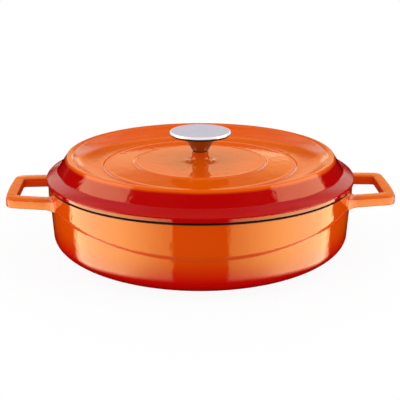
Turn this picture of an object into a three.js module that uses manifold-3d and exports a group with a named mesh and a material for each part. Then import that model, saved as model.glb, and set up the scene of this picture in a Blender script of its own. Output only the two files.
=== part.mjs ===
// Round shallow dutch oven with a lift-off lid and a steel knob, in millimetres, +Z up.
// The pot stands on z = 0 with its axis on Z. Its two loop handles lie along X.
import * as THREE from 'three';
import { mergeVertices } from 'three/addons/utils/BufferGeometryUtils.js';
import Module from 'manifold-3d';

// Pot casting
const RIM_RADIUS = 144.5;
const POT_HEIGHT = 73.6;
const WALL_THICKNESS = 4.2;
const FLOOR_THICKNESS = 4.8;
const BASE_RADIUS = 110.5;
const CORNER_HEIGHT = 22.5;
const CORNER_RISE = 0.3;
const WALL_TAPER = 0.069;
const RIM_EASE = 1.3;

// Upper band of the pot: a little proud of the wall below, its lower edge sweeps up towards the handles
const BAND_TAPER = 0.043;
const SWEEP_LOW = 40.8;
const SWEEP_RISE = 19;

// Loop handles, cast in one with the pot
const HANDLE_REACH = 38.1;
const HANDLE_WIDTH = 85.4;
const HANDLE_TAPER = 5;
const HANDLE_TILT = 1.3;
const HANDLE_SIDE_BAR = 15.5;
const HANDLE_END_BAR = 10.4;
const HANDLE_DROP = 9.4;
const HANDLE_DEPTH = 9.4;
const HANDLE_EDGE = 2.2;
const HANDLE_CORNER = 9;
const HANDLE_HOLE_CORNER = 3;
const HANDLE_BOW = 1.1;
const ROOT_FILLET = 11;

// Lid casting
const SEAT_GAP = 0.2;
const FLANGE_OVERHANG = 1.5;
const FLANGE_WIDTH = 10.5;
const FLANGE_LIP = 3.8;
const FLANGE_HEIGHT = 9.3;
const FLANGE_EDGE = 1;
const FOOT_FILLET = 3.2;
const LID_WALL_RUN = 9.2;
const LID_WALL_RISE = 14.1;
const RIDGE_WIDTH = 4.5;
const RIDGE_FALL = 0.6;
const RIDGE_EDGE = 1.3;
const LID_THICKNESS = 4.2;
const WELL_DEPTH = 11.6;
const OUTER_RING_RADIUS = 90.7;
const INNER_RING_RADIUS = 62;
const RING_STEP = 1;
const RING_BAND_RISE = 1.8;
const SKIRT_CLEARANCE = 1.2;
const SKIRT_DEPTH = 6;
const SKIRT_THICKNESS = 4.2;
const BOSS_RADIUS = 7.9;
const BOSS_FLARE = 8.6;
const BOSS_HEIGHT = 9.4;
const PAD_RADIUS = 13;
const PAD_HEIGHT = 1.2;
const NUB_HEIGHT = 2.8;
const NUB_RADIUS = 2.6;

// Knob and its fastening
const CLEARANCE = 0.3;
const CONTACT_GAP = 0.05;
const KNOB_RADIUS = 29.55;
const KNOB_THICKNESS = 4.1;
const STEM_FOOT_RADIUS = 6.9;
const STEM_TOP_RADIUS = 16.8;
const STEM_HEIGHT = 15.4;
const SPIGOT_RADIUS = 5;
const SPIGOT_HEIGHT = 1.8;
const SCREW_RADIUS = 3;
const SCREW_GRIP = 11;
const SCREW_HEAD_RADIUS = 6;
const SCREW_HEAD_HEIGHT = 3.8;
const DRIVE_WIDTH = 1.4;
const DRIVE_DEPTH = 2;
const FLAT_WASHER_RADIUS = 9;
const FLAT_WASHER_THICKNESS = 1.2;
const LOCK_WASHER_RADIUS = 5.6;
const LOCK_WASHER_THICKNESS = 1.6;
const LOCK_WASHER_SPLIT = 1;

// Facets around the axis
const CASTING_SEGMENTS = 60;
const KNOB_SEGMENTS = 40;
const SCREW_SEGMENTS = 24;
const NUB_SEGMENTS = 6;

const wasm = await Module();
wasm.setup();

// A closed solid for booleans from a three.js geometry.
function solidOf(geometry) {
  const bare = geometry.clone();
  bare.deleteAttribute('normal');
  bare.deleteAttribute('uv');
  const merged = mergeVertices(bare, 1e-4);
  const index = merged.index.array;
  const triangles = [];
  for (let i = 0; i < index.length; i += 3) {
    const [a, b, c] = [index[i], index[i + 1], index[i + 2]];
    if (a !== b && b !== c && c !== a) {
      triangles.push(a, b, c);
    }
  }
  return new wasm.Manifold(new wasm.Mesh({
    numProp: 3,
    vertProperties: new Float32Array(merged.attributes.position.array),
    triVerts: new Uint32Array(triangles),
  }));
}

// A named mesh from a solid.
function meshOf(name, solid, material) {
  const { vertProperties, triVerts } = solid.getMesh();
  const geometry = new THREE.BufferGeometry();
  geometry.setAttribute('position', new THREE.BufferAttribute(new Float32Array(vertProperties), 3));
  geometry.setIndex(new THREE.BufferAttribute(new Uint32Array(triVerts), 1));
  geometry.computeVertexNormals();
  const mesh = new THREE.Mesh(geometry, material);
  mesh.name = name;
  return mesh;
}

// A solid turned about Z from a profile of [radius, height] pairs, counter-clockwise.
function turned(profile, segments) {
  const points = profile.map(([radius, height]) => new THREE.Vector2(radius, height));
  const lathe = new THREE.LatheGeometry(points, segments);
  lathe.rotateX(Math.PI / 2);
  return solidOf(lathe);
}

// The points of a quadratic curve between two [radius, height] pairs.
function arc(start, control, end, steps) {
  const curve = new THREE.QuadraticBezierCurve(
    new THREE.Vector2(...start), new THREE.Vector2(...control), new THREE.Vector2(...end));
  return curve.getPoints(steps).map((point) => [point.x, point.y]);
}

// A corner of a profile, rounded over a reach before it and after it.
function eased(before, corner, after, reach, steps) {
  const toward = (point) => {
    const away = Math.hypot(point[0] - corner[0], point[1] - corner[1]);
    return corner.map((value, i) => value + (point[i] - value) * reach / away);
  };
  return arc(toward(before), corner, toward(after), steps);
}

// A flat outline in X and Z, extruded along Y between two places.
function slab(shape, fromY, toY) {
  const geometry = new THREE.ExtrudeGeometry(shape, { depth: toY - fromY, bevelEnabled: false, curveSegments: 4 });
  geometry.rotateX(Math.PI / 2);
  geometry.translate(0, toY, 0);
  return solidOf(geometry);
}

// Pot: outside of the wall, and of the band that stands proud of it
const wallRadius = (height) => RIM_RADIUS - WALL_TAPER * (POT_HEIGHT - height);
const bandRadius = (height) => RIM_RADIUS - BAND_TAPER * (POT_HEIGHT - height);
const innerRadius = (height) => wallRadius(height) - WALL_THICKNESS;

// Where a line rising from the foot at CORNER_RISE meets the wall line, used as a corner's control point.
function cornerControl(footRadius, footHeight, radiusAt) {
  const wallAtFoot = radiusAt(footHeight);
  const radius = (wallAtFoot - WALL_TAPER * CORNER_RISE * footRadius) / (1 - WALL_TAPER * CORNER_RISE);
  return [radius, footHeight + CORNER_RISE * (radius - footRadius)];
}

const potCorner = arc(
  [BASE_RADIUS, 0], cornerControl(BASE_RADIUS, 0, wallRadius),
  [wallRadius(CORNER_HEIGHT), CORNER_HEIGHT], 6);
const potOutside = turned([
  [0, 0],
  ...potCorner,
  [wallRadius(POT_HEIGHT - RIM_EASE), POT_HEIGHT - RIM_EASE],
  [wallRadius(POT_HEIGHT) - 0.3 * RIM_EASE, POT_HEIGHT - 0.3 * RIM_EASE],
  [wallRadius(POT_HEIGHT) - RIM_EASE, POT_HEIGHT],
  [0, POT_HEIGHT],
], CASTING_SEGMENTS);

const bandFoot = SWEEP_LOW - 4;
const bandDisc = turned([
  [0, bandFoot],
  [bandRadius(bandFoot), bandFoot],
  [bandRadius(POT_HEIGHT - RIM_EASE), POT_HEIGHT - RIM_EASE],
  [0, POT_HEIGHT - RIM_EASE],
], CASTING_SEGMENTS);
const sweepShape = new THREE.Shape();
const sweepHalf = RIM_RADIUS + 5;
const sweepSteps = 20;
sweepShape.moveTo(sweepHalf, POT_HEIGHT + 5);
sweepShape.lineTo(-sweepHalf, POT_HEIGHT + 5);
for (let i = 0; i <= sweepSteps; i += 1) {
  const x = sweepHalf * (2 * i / sweepSteps - 1);
  sweepShape.lineTo(x, SWEEP_LOW + SWEEP_RISE * (x / RIM_RADIUS) ** 2);
}
const band = bandDisc.intersect(slab(sweepShape, -RIM_RADIUS - 5, RIM_RADIUS + 5));

const floorRadius = BASE_RADIUS - 4;
const cavityCorner = arc(
  [floorRadius, FLOOR_THICKNESS], cornerControl(floorRadius, FLOOR_THICKNESS, innerRadius),
  [innerRadius(CORNER_HEIGHT + FLOOR_THICKNESS), CORNER_HEIGHT + FLOOR_THICKNESS], 6);
const cavity = turned([
  [0, FLOOR_THICKNESS],
  ...cavityCorner,
  [innerRadius(POT_HEIGHT - RIM_EASE), POT_HEIGHT - RIM_EASE],
  [innerRadius(POT_HEIGHT) + RIM_EASE, POT_HEIGHT],
  [innerRadius(POT_HEIGHT) + RIM_EASE, POT_HEIGHT + 2],
  [0, POT_HEIGHT + 2],
], CASTING_SEGMENTS);

// Handle on the +X side: a loop in plan that narrows outward, with flared roots and a fillet under each side bar
const handleTop = POT_HEIGHT - HANDLE_DROP;
const handleBottom = handleTop - HANDLE_DEPTH;
const handleEnd = RIM_RADIUS + HANDLE_REACH;
const holeEnd = handleEnd - HANDLE_END_BAR;
const sideY = (x) => 0.5 * HANDLE_WIDTH + HANDLE_TAPER * (handleEnd - x) / HANDLE_REACH;
const holeY = (x) => sideY(x) - HANDLE_SIDE_BAR;
const rootHalf = sideY(RIM_RADIUS);
const rootHole = holeY(RIM_RADIUS);
const wallX = (y) => Math.sqrt(wallRadius(handleBottom) ** 2 - y ** 2);
const insideX = innerRadius(handleBottom) - 18;

function handleLoop() {
  const flareY = rootHalf + ROOT_FILLET;
  const rootX = wallX(rootHalf) + ROOT_FILLET;
  const turnX = handleEnd - HANDLE_BOW - HANDLE_CORNER;
  const turnY = sideY(turnX);
  const cornerX = handleEnd - 1.4 * HANDLE_BOW;
  const endX = handleEnd - HANDLE_BOW;
  const endY = sideY(endX) - HANDLE_CORNER;
  const shape = new THREE.Shape();
  shape.moveTo(insideX, -flareY);
  shape.lineTo(wallX(flareY) - 0.5, -flareY);
  shape.quadraticCurveTo(wallX(rootHalf), -rootHalf, rootX, -sideY(rootX));
  shape.lineTo(turnX, -turnY);
  shape.quadraticCurveTo(cornerX, -sideY(cornerX), endX, -endY);
  shape.quadraticCurveTo(handleEnd + HANDLE_BOW, 0, endX, endY);
  shape.quadraticCurveTo(cornerX, sideY(cornerX), turnX, turnY);
  shape.lineTo(rootX, sideY(rootX));
  shape.quadraticCurveTo(wallX(rootHalf), rootHalf, wallX(flareY) - 0.5, flareY);
  shape.lineTo(insideX, flareY);

  const fillet = 0.5 * ROOT_FILLET;
  const holeRootX = wallX(rootHole) + fillet;
  const holeTurnX = holeEnd - HANDLE_HOLE_CORNER;
  const holeEndY = holeY(holeEnd) - HANDLE_HOLE_CORNER;
  const hole = new THREE.Path();
  hole.moveTo(wallX(0) - WALL_THICKNESS, -rootHole + fillet);
  hole.lineTo(wallX(0) - WALL_THICKNESS, rootHole - fillet);
  hole.lineTo(wallX(rootHole - fillet), rootHole - fillet);
  hole.quadraticCurveTo(wallX(rootHole), rootHole, holeRootX, holeY(holeRootX));
  hole.lineTo(holeTurnX, holeY(holeTurnX));
  hole.quadraticCurveTo(holeEnd, holeY(holeEnd), holeEnd, holeEndY);
  hole.lineTo(holeEnd, -holeEndY);
  hole.quadraticCurveTo(holeEnd, -holeY(holeEnd), holeTurnX, -holeY(holeTurnX));
  hole.lineTo(holeRootX, -holeY(holeRootX));
  hole.quadraticCurveTo(wallX(rootHole), -rootHole, wallX(rootHole - fillet), -rootHole + fillet);
  shape.holes.push(hole);

  const geometry = new THREE.ExtrudeGeometry(shape, {
    depth: HANDLE_DEPTH - 2 * HANDLE_EDGE,
    bevelEnabled: true,
    bevelThickness: HANDLE_EDGE,
    bevelSize: HANDLE_EDGE,
    bevelOffset: -HANDLE_EDGE,
    bevelSegments: 2,
    curveSegments: 4,
  });
  geometry.translate(0, 0, handleBottom + HANDLE_EDGE);
  return solidOf(geometry);
}

function rootFillet(fromY, toY) {
  const shape = new THREE.Shape();
  const farY = Math.max(Math.abs(fromY), Math.abs(toY));
  shape.moveTo(insideX, handleBottom + HANDLE_EDGE);
  shape.lineTo(insideX, handleBottom - ROOT_FILLET);
  shape.lineTo(wallX(farY) - 1, handleBottom - ROOT_FILLET);
  shape.quadraticCurveTo(
    wallX(farY) + 1, handleBottom, wallX(farY) + ROOT_FILLET + 1, handleBottom + 0.5 * HANDLE_EDGE);
  shape.lineTo(wallX(farY) + ROOT_FILLET + 1, handleBottom + HANDLE_EDGE);
  return slab(shape, fromY, toY);
}

const handleMiddle = 0.5 * (handleTop + handleBottom);
const filletInset = HANDLE_EDGE + 0.35 * HANDLE_TAPER;
const rightHandle = handleLoop()
  .add(rootFillet(rootHole + filletInset, rootHalf - filletInset))
  .add(rootFillet(-rootHalf + filletInset, -rootHole - filletInset))
  .translate([-holeEnd, 0, -handleMiddle])
  .rotate([0, -HANDLE_TILT, 0])
  .translate([holeEnd, 0, handleMiddle]);
const leftHandle = rightHandle.rotate([0, 0, 180]);
const potSolid = potOutside.add(band).add(rightHandle).add(leftHandle).subtract(cavity);

// Lid: heights above the table, and radii that follow the pot's rim
const lidSeat = POT_HEIGHT + SEAT_GAP;
const flangeRadius = RIM_RADIUS + FLANGE_OVERHANG;
const wallFootRadius = flangeRadius - FLANGE_WIDTH;
const wallFootHeight = lidSeat + FLANGE_HEIGHT;
const ridgeRadius = wallFootRadius - LID_WALL_RUN;
const ridgeHeight = wallFootHeight + LID_WALL_RISE;
const wellEdgeRadius = ridgeRadius - RIDGE_WIDTH;
const wellEdgeHeight = ridgeHeight - RIDGE_FALL;
const valleyHeight = ridgeHeight - WELL_DEPTH;
const valleyRadius = OUTER_RING_RADIUS + 0.25 * (wellEdgeRadius - OUTER_RING_RADIUS);
const bandOuterHeight = valleyHeight + RING_STEP;
const bandInnerHeight = bandOuterHeight + RING_BAND_RISE;
const discHeight = bandInnerHeight + RING_STEP;
const bossTop = discHeight + BOSS_HEIGHT;
const padHeight = discHeight - LID_THICKNESS - PAD_HEIGHT;
const boreRadius = SCREW_RADIUS + CLEARANCE;
const skirtRadius = innerRadius(POT_HEIGHT - SKIRT_DEPTH) - SKIRT_CLEARANCE;
const skirtInnerRadius = skirtRadius - SKIRT_THICKNESS;

// Underside, from the bore out to the skirt
const wallSlope = LID_WALL_RISE / LID_WALL_RUN;
const wallStretch = Math.sqrt(1 + wallSlope ** 2);
const underWall = (radius) => ridgeHeight - LID_THICKNESS * wallStretch - wallSlope * (radius - ridgeRadius);
const underRidgeRadius = ridgeRadius - LID_THICKNESS * (wallStretch - 1) / wallSlope;
const underside = [
  [boreRadius, padHeight],
  [PAD_RADIUS, padHeight],
  [PAD_RADIUS + PAD_HEIGHT, discHeight - LID_THICKNESS],
  [INNER_RING_RADIUS, discHeight - LID_THICKNESS],
  [OUTER_RING_RADIUS, bandOuterHeight - LID_THICKNESS],
  [valleyRadius, valleyHeight - LID_THICKNESS],
  ...arc(
    [valleyRadius + 4, valleyHeight - LID_THICKNESS],
    [wellEdgeRadius - 10.5, valleyHeight - 0.4 * LID_THICKNESS],
    [wellEdgeRadius - 0.8 * LID_THICKNESS, wellEdgeHeight - LID_THICKNESS], 3),
  [underRidgeRadius, underWall(underRidgeRadius)],
  [skirtInnerRadius, underWall(skirtInnerRadius)],
  [skirtInnerRadius, lidSeat - SKIRT_DEPTH],
  [skirtRadius, lidSeat - SKIRT_DEPTH],
  [skirtRadius, lidSeat],
];

// Top, from the flange in to the boss
const lipFoot = [flangeRadius, lidSeat + 0.6];
const lipTop = [flangeRadius, lidSeat + FLANGE_LIP];
const wallFoot = [wallFootRadius, wallFootHeight];
const ridgeTop = [ridgeRadius, ridgeHeight];
const wellEdge = [wellEdgeRadius, wellEdgeHeight];
const wellSide = [wellEdgeRadius - 8, valleyHeight + 0.2 * WELL_DEPTH];
const topSide = [
  [flangeRadius - 0.6, lidSeat],
  lipFoot,
  ...eased(lipFoot, lipTop, wallFoot, FLANGE_EDGE, 2),
  ...eased(lipTop, wallFoot, ridgeTop, FOOT_FILLET, 3),
  ...eased(wallFoot, ridgeTop, wellEdge, RIDGE_EDGE, 3),
  ...eased(ridgeTop, wellEdge, wellSide, RIDGE_EDGE, 2),
  ...arc(
    [wellEdgeRadius - 1.6, wellEdgeHeight - 1.6],
    wellSide,
    [valleyRadius, valleyHeight], 4),
  [OUTER_RING_RADIUS + RING_STEP, valleyHeight],
  [OUTER_RING_RADIUS, bandOuterHeight],
  [INNER_RING_RADIUS + RING_STEP, bandInnerHeight],
  [INNER_RING_RADIUS, discHeight],
  ...arc(
    [BOSS_RADIUS + BOSS_FLARE, discHeight],
    [BOSS_RADIUS, discHeight],
    [BOSS_RADIUS, discHeight + 0.7 * BOSS_HEIGHT], 4),
  [BOSS_RADIUS, bossTop],
  [boreRadius, bossTop],
];

// Height of the underside at a radius between the pad and the ridge.
function undersideAt(radius) {
  for (let i = 1; i < underside.length; i += 1) {
    const [r0, z0] = underside[i - 1];
    const [r1, z1] = underside[i];
    if (radius >= r0 && radius <= r1) {
      return z0 + (z1 - z0) * (radius - r0) / (r1 - r0);
    }
  }
  return padHeight;
}

// Drip nubs: short tapered pins on three circles under the lid
const nubCircles = [
  [0.5 * (PAD_RADIUS + INNER_RING_RADIUS), 10],
  [0.5 * (INNER_RING_RADIUS + OUTER_RING_RADIUS), 18],
  [valleyRadius, 22],
];
let lidSolid = turned([...underside, ...topSide, underside[0]], CASTING_SEGMENTS);
for (const [circleRadius, count] of nubCircles) {
  const rootHeight = undersideAt(circleRadius) + 0.5 * LID_THICKNESS;
  const tipHeight = undersideAt(circleRadius) - NUB_HEIGHT;
  const nub = new THREE.CylinderGeometry(NUB_RADIUS, 0.5 * NUB_RADIUS, rootHeight - tipHeight, NUB_SEGMENTS);
  nub.rotateX(Math.PI / 2);
  nub.translate(circleRadius, 0, 0.5 * (rootHeight + tipHeight));
  const nubSolid = solidOf(nub);
  for (let i = 0; i < count; i += 1) {
    lidSolid = lidSolid.add(nubSolid.rotate([0, 0, (i + 0.5) * 360 / count]));
  }
}

// Knob: a cone stem on the boss and a thin disc on the stem's spigot
const stemFoot = bossTop + CONTACT_GAP;
const stemTop = stemFoot + STEM_HEIGHT;
const discFoot = stemTop + CONTACT_GAP;
const discTop = discFoot + KNOB_THICKNESS;
const rimRound = KNOB_THICKNESS / 2;
const tapDepth = SCREW_GRIP + 1;
const stemSolid = turned([
  [0, stemFoot + tapDepth],
  [boreRadius, stemFoot + tapDepth],
  [boreRadius, stemFoot],
  [STEM_FOOT_RADIUS, stemFoot],
  [STEM_TOP_RADIUS, stemTop],
  [SPIGOT_RADIUS, stemTop],
  [SPIGOT_RADIUS, stemTop + SPIGOT_HEIGHT],
  [0, stemTop + SPIGOT_HEIGHT],
], KNOB_SEGMENTS);

const discRim = [];
const rimSteps = 6;
for (let i = 0; i <= rimSteps; i += 1) {
  const angle = Math.PI * (i / rimSteps - 0.5);
  discRim.push([
    KNOB_RADIUS - rimRound + rimRound * Math.cos(angle),
    discFoot + rimRound + rimRound * Math.sin(angle),
  ]);
}
const discSolid = turned([
  [0, stemTop + SPIGOT_HEIGHT + CLEARANCE],
  [SPIGOT_RADIUS + CLEARANCE, stemTop + SPIGOT_HEIGHT + CLEARANCE],
  [SPIGOT_RADIUS + CLEARANCE, discFoot],
  ...discRim,
  [0, discTop],
], KNOB_SEGMENTS);

// Fastening under the lid: flat washer, split washer and screw, from the pad down
const flatTop = padHeight - CONTACT_GAP;
const flatFoot = flatTop - FLAT_WASHER_THICKNESS;
const lockTop = flatFoot - CONTACT_GAP;
const lockFoot = lockTop - LOCK_WASHER_THICKNESS;
const headTop = lockFoot - CONTACT_GAP;
const headFoot = headTop - SCREW_HEAD_HEIGHT;

function washer(outerRadius, foot, top) {
  return turned([
    [boreRadius, foot],
    [outerRadius, foot],
    [outerRadius, top],
    [boreRadius, top],
    [boreRadius, foot],
  ], SCREW_SEGMENTS);
}

const flatWasherSolid = washer(FLAT_WASHER_RADIUS, flatFoot, flatTop);
const splitBox = new THREE.BoxGeometry(LOCK_WASHER_RADIUS + 2, LOCK_WASHER_SPLIT, 3 * LOCK_WASHER_THICKNESS);
splitBox.rotateX(Math.PI / 9);
splitBox.translate(0.5 * LOCK_WASHER_RADIUS + 1, 0, 0.5 * (lockFoot + lockTop));
const lockWasherSolid = washer(LOCK_WASHER_RADIUS, lockFoot, lockTop).subtract(solidOf(splitBox));

const screwBlank = turned([
  [0, headFoot],
  ...arc(
    [0.6 * SCREW_HEAD_RADIUS, headFoot],
    [SCREW_HEAD_RADIUS, headFoot],
    [SCREW_HEAD_RADIUS, headFoot + 0.6 * SCREW_HEAD_HEIGHT], 3),
  [SCREW_HEAD_RADIUS, headTop],
  [SCREW_RADIUS, headTop],
  [SCREW_RADIUS, stemFoot + SCREW_GRIP - 0.6],
  [SCREW_RADIUS - 0.6, stemFoot + SCREW_GRIP],
  [0, stemFoot + SCREW_GRIP],
], SCREW_SEGMENTS);
const driveLength = 1.2 * SCREW_HEAD_RADIUS;
const driveBox = new THREE.BoxGeometry(driveLength, DRIVE_WIDTH, 2 * DRIVE_DEPTH);
driveBox.translate(0, 0, headFoot);
const driveBar = solidOf(driveBox);
const screwSolid = screwBlank.subtract(driveBar.add(driveBar.rotate([0, 0, 90])));

// Finishes read from the photograph
const enamel = new THREE.MeshStandardMaterial({ color: 0xe0661a, roughness: 0.2, metalness: 0 });
const satinSteel = new THREE.MeshStandardMaterial({ color: 0xc9c6c8, roughness: 0.35, metalness: 1 });
const brightSteel = new THREE.MeshStandardMaterial({ color: 0xb8b5b2, roughness: 0.18, metalness: 1 });
const zincSteel = new THREE.MeshStandardMaterial({ color: 0x9c9c98, roughness: 0.4, metalness: 1 });

const potGroup = new THREE.Group();
potGroup.add(meshOf('pot', potSolid, enamel));

const lidGroup = new THREE.Group();
lidGroup.add(meshOf('lid', lidSolid, enamel));
lidGroup.add(meshOf('knob_stem', stemSolid, brightSteel));
lidGroup.add(meshOf('knob_disc', discSolid, satinSteel));
lidGroup.add(meshOf('knob_screw', screwSolid, zincSteel));
lidGroup.add(meshOf('flat_washer', flatWasherSolid, zincSteel));
lidGroup.add(meshOf('lock_washer', lockWasherSolid, zincSteel));

const dutchOven = new THREE.Group();
dutchOven.add(potGroup);
dutchOven.add(lidGroup);
export default dutchOven;
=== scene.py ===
import math

import bpy
import numpy as np
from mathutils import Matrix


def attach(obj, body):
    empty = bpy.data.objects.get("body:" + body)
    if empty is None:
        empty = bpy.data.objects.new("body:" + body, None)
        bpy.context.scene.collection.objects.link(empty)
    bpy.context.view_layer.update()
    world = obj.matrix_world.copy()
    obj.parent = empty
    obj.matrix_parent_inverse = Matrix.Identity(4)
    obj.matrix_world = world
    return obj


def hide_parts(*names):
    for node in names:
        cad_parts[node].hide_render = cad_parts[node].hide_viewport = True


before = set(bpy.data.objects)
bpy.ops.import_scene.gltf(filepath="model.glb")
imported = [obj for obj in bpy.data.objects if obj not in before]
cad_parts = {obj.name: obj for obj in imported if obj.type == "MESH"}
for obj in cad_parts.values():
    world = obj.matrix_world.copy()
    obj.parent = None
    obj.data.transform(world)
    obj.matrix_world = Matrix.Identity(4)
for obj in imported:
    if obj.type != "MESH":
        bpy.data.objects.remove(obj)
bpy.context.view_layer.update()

# Pot shell: one round iron casting, fired with orange enamel that fades to red at the foot. The inside and
# the rim have dark satin enamel. The upper part of the wall stands slightly proud, and the lower edge of that
# part sweeps up to each handle.
MILLIMETRE = 0.001
RIM_RADIUS = 144.5
POT_HEIGHT = 73.6
WALL_THICKNESS = 4.2
FLOOR_THICKNESS = 4.8
BASE_RADIUS = 110.5
BASE_RINGS = (4.0, 40.0, 80.0, 102.0, 107.5)
CORNER_HEIGHT = 22.5
CORNER_RISE = 0.3
CORNER_STEPS = 24
WALL_TAPER = 0.069
CAVITY_INSET = 4.0
CAVITY_RINGS = (98.0, 80.0, 55.0, 28.0, 4.0)
CAVITY_CORNER_STEPS = 18
CAVITY_WALL_HEIGHTS = (60.0, 40.0)
CAVITY_WALL_EASE = 0.5
SWEEP_LOW = 40.8
SWEEP_RISE = 19.0
STEP_HALF = 2.3
STEP_DEPTH = 2.1
STEP_LOSS = 1.0
STEP_STRAIGHT = 0.7
STEP_ROWS = 9
RIM_EASE = 1.3
DARK_RIM_DEPTH = 2.4
DARK_RIM_BLEND = 0.2
DARK_RIM_INSET = 1.0
CASTING_SEGMENTS = 216
EASE_STEPS = 7
SHORTEST_RUN = 0.002
POT_ORANGE = (0.635, 0.061, 0.0003, 1.0)
POT_ORANGE_DEEP = (0.615, 0.057, 0.0003, 1.0)
POT_RED = (0.52, 0.002, 0.0006, 1.0)
# The handles' lighter, yellower orange is painted light on the same enamel as the wall.
GRIP_PAINTED_LIGHT = (0.665, 0.090, 0.0003, 1.0)
# The redder, darker enamel on the faces in the finger holes is painted shade.
LOOP_PAINTED_SHADE = (0.50, 0.020, 0.0005, 1.0)
ENAMEL_SPECKLE = (0.28, 0.012, 0.0005, 1.0)
DARK_ENAMEL = (0.010, 0.009, 0.009, 1.0)
DARK_GRIT = (0.034, 0.032, 0.031, 1.0)
SPECKLE_SHARE = 0.06
GRIT_SHARE = 0.5
FINE_DIMPLES = 1.5
WIDE_DIMPLES = 3.5
SLOW_WAVES = 4.0
FADE_TOP = 44.0
FADE_FOOT = 16.5
FADE_WANDER = 4.0
GRIP_START = 146.2
GRIP_FULL = 152.0
GRIP_DRYNESS = 0.2
SWEPT_DRYNESS = 0.85
LOOP_SHADE_SHARE = 0.7


class Wire:
    """An output of a node. Arithmetic on it adds Math nodes, and node() adds a node of any other kind."""

    def __init__(self, tree, output=None):
        self.tree = tree
        self.output = output

    def node(self, kind, settings, sockets, output=0):
        """Adds a node with its settings, then gives each named socket its value or link."""
        made = self.tree.nodes.new(kind)
        for setting, value in settings.items():
            setattr(made, setting, value)
        for socket, value in sockets.items():
            if isinstance(value, Wire):
                self.tree.links.new(value.output, made.inputs[socket])
            else:
                made.inputs[socket].default_value = value
        return Wire(self.tree, made.outputs[output] if len(made.outputs) else None)

    def math(self, operation, first, second=0.0):
        """Adds a Math node on one or two values."""
        return self.node("ShaderNodeMath", {"operation": operation}, {0: first, 1: second})

    def __add__(self, other):
        return self.math("ADD", self, other)

    def __sub__(self, other):
        return self.math("SUBTRACT", self, other)

    def __rsub__(self, other):
        return self.math("SUBTRACT", other, self)

    def __mul__(self, other):
        return self.math("MULTIPLY", self, other)

    __radd__ = __add__
    __rmul__ = __mul__

    def ramp(self, low, high):
        """0 at low and 1 at high, with a smooth rise or fall between them."""
        bounds = {"Value": self, "From Min": low, "From Max": high}
        return self.node("ShaderNodeMapRange", {"interpolation_type": "SMOOTHSTEP"}, bounds)

    def between(self, low, high):
        """A ramp on a length of the object: 0 at low and 1 at high, both in millimetres."""
        return self.ramp(low * MILLIMETRE, high * MILLIMETRE)

    def mix(self, first, second):
        """The first colour where this is 0 and the second where it is 1."""
        return self.node("ShaderNodeMix", {"data_type": "RGBA"}, {0: self, 6: first, 7: second}, 2)

    def noise(self, scale, detail, roughness=0.5):
        """Noise on this vector, about 0.5 on average."""
        sockets = {"Vector": self, "Scale": scale, "Detail": detail, "Roughness": roughness}
        return self.node("ShaderNodeTexNoise", {}, sockets, "Fac")

    def axis(self, name):
        """One coordinate of this vector."""
        return self.node("ShaderNodeSeparateXYZ", {}, {0: self}, name)

    def bump(self, strength, distance):
        """The normal of a surface whose relief is this times the distance."""
        sockets = {"Strength": strength, "Distance": distance, "Height": self}
        return self.node("ShaderNodeBump", {}, sockets, "Normal")


def new_finish(name):
    """An empty material, and a wire to start its nodes from."""
    material = bpy.data.materials.new(name)
    material.use_nodes = True
    material.node_tree.nodes.clear()
    return material, Wire(material.node_tree)


def place_of(start):
    """Object coordinates, which are the part's own frame in metres."""
    return start.node("ShaderNodeTexCoord", {}, {}, "Object")


def marked(start, name):
    """The number that mark() kept for each point of a piece, or 0 on a piece without it."""
    return start.node("ShaderNodeAttribute", {"attribute_name": name}, {}, "Fac")


def distance_from_axis(place):
    """Radius about Z: the length of the vector with its height taken out."""
    flat = place.node("ShaderNodeVectorMath", {"operation": "MULTIPLY"}, {0: place, 1: (1.0, 1.0, 0.0)})
    return flat.node("ShaderNodeVectorMath", {"operation": "LENGTH"}, {0: flat}, "Value")


def clouded(cloud, first, second):
    """Two close shades of enamel that go over into each other in soft clouds."""
    return cloud.ramp(0.3, 0.7).mix(first, second)


def fire_enamel(start, place, colour, dark, dry):
    """Gloss enamel over the given colour, a duller coat of that colour where dry is 1, and a matt dark enamel
    where dark is 1. The gloss varies a little, and the surface has the shallow dimples and slow waves of a
    fired coat."""
    speckle = place.noise(scale=900.0, detail=2.0).ramp(0.62, 0.75)
    coloured = (speckle * SPECKLE_SHARE).mix(colour, ENAMEL_SPECKLE)
    grit = place.noise(scale=1500.0, detail=3.0).ramp(0.58, 0.70)
    satin = (grit * GRIT_SHARE).mix(DARK_ENAMEL, DARK_GRIT)
    dimples = place.noise(scale=240.0, detail=1.0) * FINE_DIMPLES
    dimples = dimples + place.noise(scale=120.0, detail=1.0) * WIDE_DIMPLES
    dimples = dimples + place.noise(scale=48.0, detail=1.0) * SLOW_WAVES
    relief = dimples.bump(strength=0.30, distance=0.00012)
    uneven = place.noise(scale=60.0, detail=3.0)
    gloss_coat = start.node("ShaderNodeBsdfPrincipled", {}, {
        "Base Color": coloured,
        "Roughness": 0.05 + uneven * 0.05,
        "IOR": 1.55,
        "Normal": relief,
    })
    dull_coat = start.node("ShaderNodeBsdfPrincipled", {}, {
        "Base Color": coloured,
        "Roughness": 0.45 + uneven * 0.10,
        "Specular IOR Level": 0.06,
        "Normal": relief,
    })
    matt_coat = start.node("ShaderNodeBsdfPrincipled", {}, {
        "Base Color": satin,
        "Roughness": 0.48 + grit * 0.12,
        "IOR": 1.2,
        "Specular IOR Level": 0.02,
        "Normal": relief,
    })
    fired_coat = start.node("ShaderNodeMixShader", {}, {0: dry, 1: gloss_coat, 2: dull_coat})
    shader = start.node("ShaderNodeMixShader", {}, {0: dark, 1: fired_coat, 2: matt_coat})
    start.node("ShaderNodeOutputMaterial", {}, {"Surface": shader})


def smooth(share):
    """0 up to 0, 1 from 1, and 3s^2 - 2s^3 between."""
    clipped = np.clip(share, 0.0, 1.0)
    return clipped * clipped * (3.0 - 2.0 * clipped)


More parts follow.
